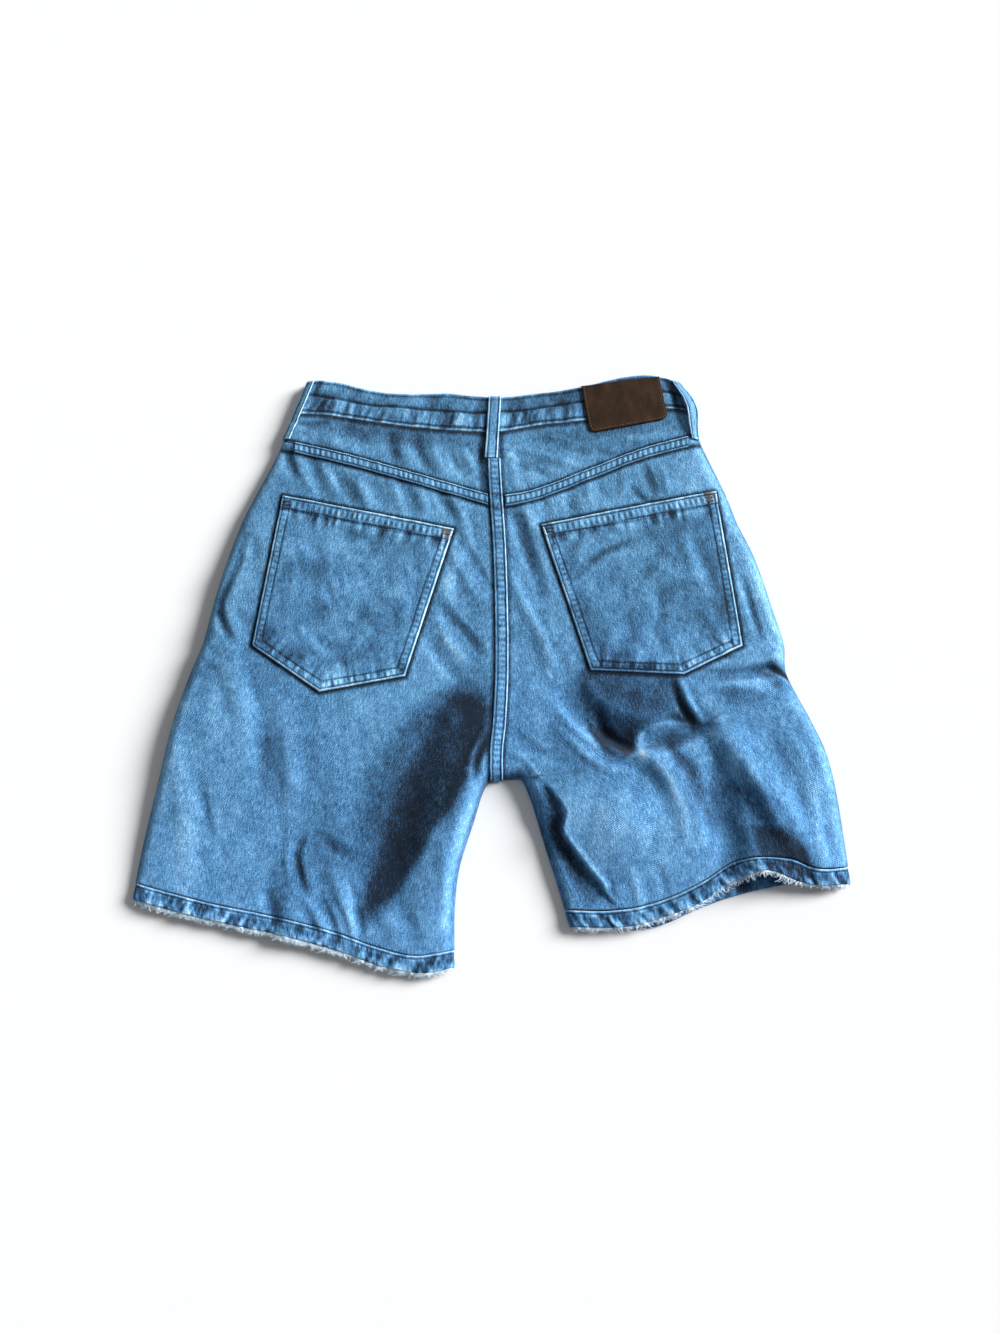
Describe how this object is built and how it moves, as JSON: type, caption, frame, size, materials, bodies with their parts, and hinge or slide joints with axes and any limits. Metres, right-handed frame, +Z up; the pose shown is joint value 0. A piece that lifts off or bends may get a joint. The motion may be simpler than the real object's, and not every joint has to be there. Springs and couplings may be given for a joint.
{
  "type": "denim shorts",
  "caption": "Denim shorts lying flat on their front, back side up, with yoke, patch pockets, belt loops, leather patch and open leg hems.",
  "frame": {"origin": "on the surface the shorts lie on, below the middle of their outline", "axes": "+X across from the left side seam to the right one, +Y from the hems to the waistband, +Z up through the back of the shorts"},
  "size_m": [0.664, 0.5815, 0.03],
  "materials": {
    "denim": "washed mid-blue cotton denim, right-hand twill with pale worn ridges",
    "denim_shade": "the same denim, felled seams and facings, a little darker",
    "patch_leather": "dark brown smooth leather with light stitches, bare",
    "button_metal": "antique metal, plain"
  },
  "bodies": {
    "root": {"waistband_back": "denim", "waistband_front_left": "denim", "waistband_front_right": "denim", "back_yoke_left": "denim", "back_yoke_right": "denim", "back_leg_left": "denim", "back_leg_right": "denim", "front_leg_left": "denim", "front_leg_right": "denim", "hem_left": "denim", "hem_right": "denim", "belt_loop_center_back": "denim", "belt_loop_side_left": "denim", "belt_loop_side_right": "denim", "belt_loop_front_left": "denim", "belt_loop_front_right": "denim", "back_pocket_left": "denim", "back_pocket_right": "denim", "seat_seam": "denim_shade", "yoke_seam_left": "denim_shade", "yoke_seam_right": "denim_shade", "hip_facing_left": "denim_shade", "hip_facing_right": "denim_shade", "fly_facing": "denim_shade", "fly_shield": "denim_shade", "leather_patch": "patch_leather", "waist_button": "button_metal", "fly_button_1": "button_metal", "fly_button_2": "button_metal", "fly_button_3": "button_metal"}
  },
  "joints": []
}
